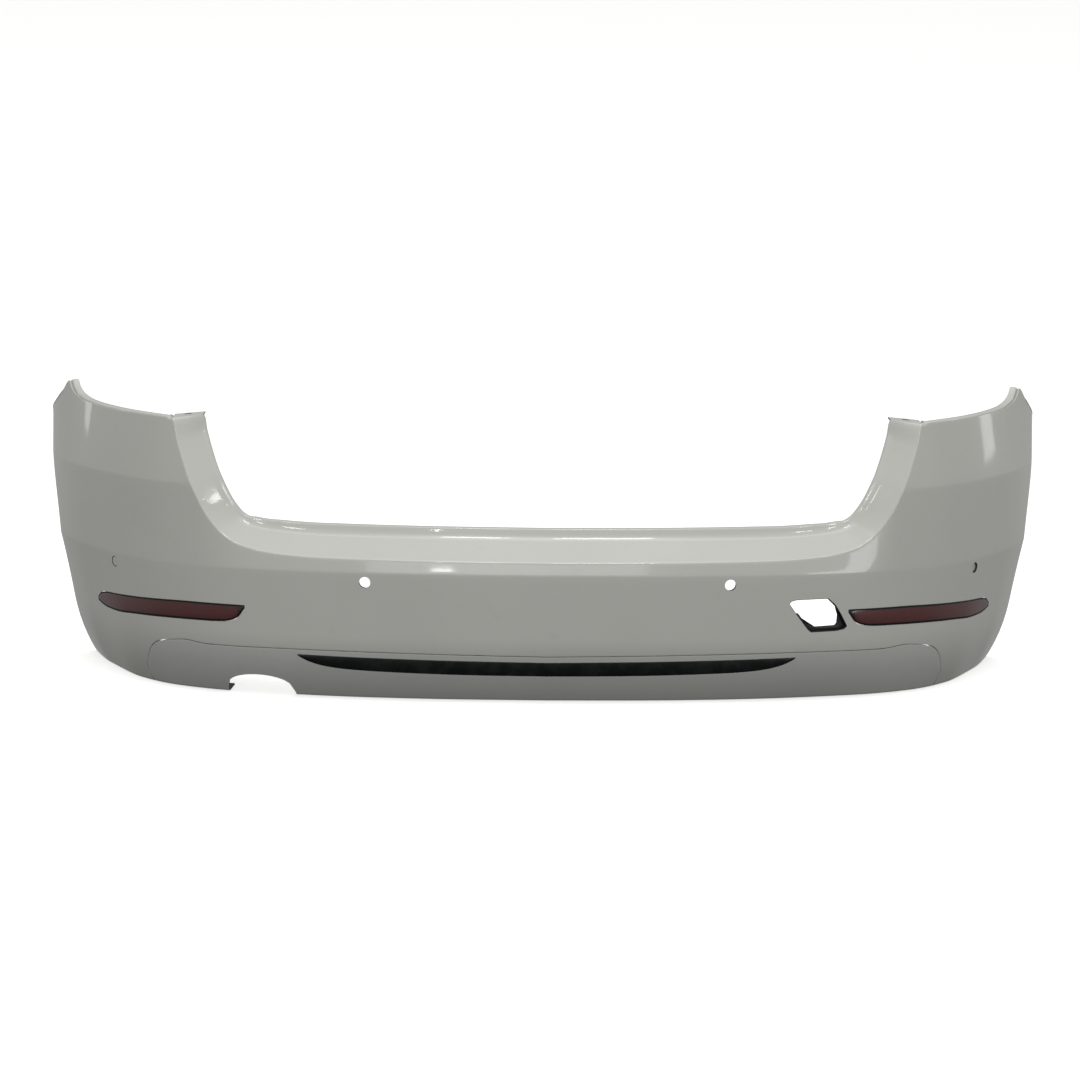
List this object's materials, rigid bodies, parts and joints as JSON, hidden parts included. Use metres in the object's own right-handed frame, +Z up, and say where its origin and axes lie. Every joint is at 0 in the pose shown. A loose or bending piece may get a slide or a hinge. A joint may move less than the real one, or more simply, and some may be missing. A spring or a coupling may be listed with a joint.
{
  "type": "bumper cover",
  "caption": "Rear bumper cover of an estate car: U-shaped painted skin with lamp ears and wings, lower valance, gloss trim strip, red reflectors.",
  "frame": {"origin": "bottom centre of the whole cover, on the plane its lowest edge stands on", "axes": "+X to the right seen from behind the car, +Y forward into the car, +Z up"},
  "size_m": [1.9, 0.6119, 0.521],
  "materials": {
    "painted_skin": "glossy light grey-white paint over plastic",
    "painted_valance": "glossy light grey-white paint, a little cooler than the skin",
    "gloss_black": "gloss black plastic",
    "red_lens": "dark red prismatic reflector",
    "black_housing": "black plastic",
    "holder_plastic": "unpainted black plastic",
    "spring_steel": "zinc-coated spring steel"
  },
  "bodies": {
    "root": {"arch_nut_left_1": "spring_steel", "arch_nut_left_2": "spring_steel", "arch_nut_left_3": "spring_steel", "arch_nut_right_1": "spring_steel", "arch_nut_right_2": "spring_steel", "arch_nut_right_3": "spring_steel", "bottom_nut_1": "spring_steel", "bottom_nut_2": "spring_steel", "bottom_nut_3": "spring_steel", "bottom_nut_4": "spring_steel", "bumper_skin": "painted_skin", "lower_trim_strip": "gloss_black", "lower_valance": "painted_valance", "reflector_base_left": "black_housing", "reflector_base_right": "black_housing", "reflector_lens_left": "red_lens", "reflector_lens_right": "red_lens", "sensor_holder_inner_left": "holder_plastic", "sensor_holder_inner_right": "holder_plastic", "sensor_holder_outer_left": "holder_plastic", "sensor_holder_outer_right": "holder_plastic", "sensor_outer_left": "painted_skin", "sensor_outer_right": "painted_skin", "valance_clip_1": "spring_steel", "valance_clip_2": "spring_steel", "valance_clip_3": "spring_steel", "valance_clip_4": "spring_steel", "valance_clip_5": "spring_steel", "valance_clip_6": "spring_steel"}
  },
  "joints": []
}
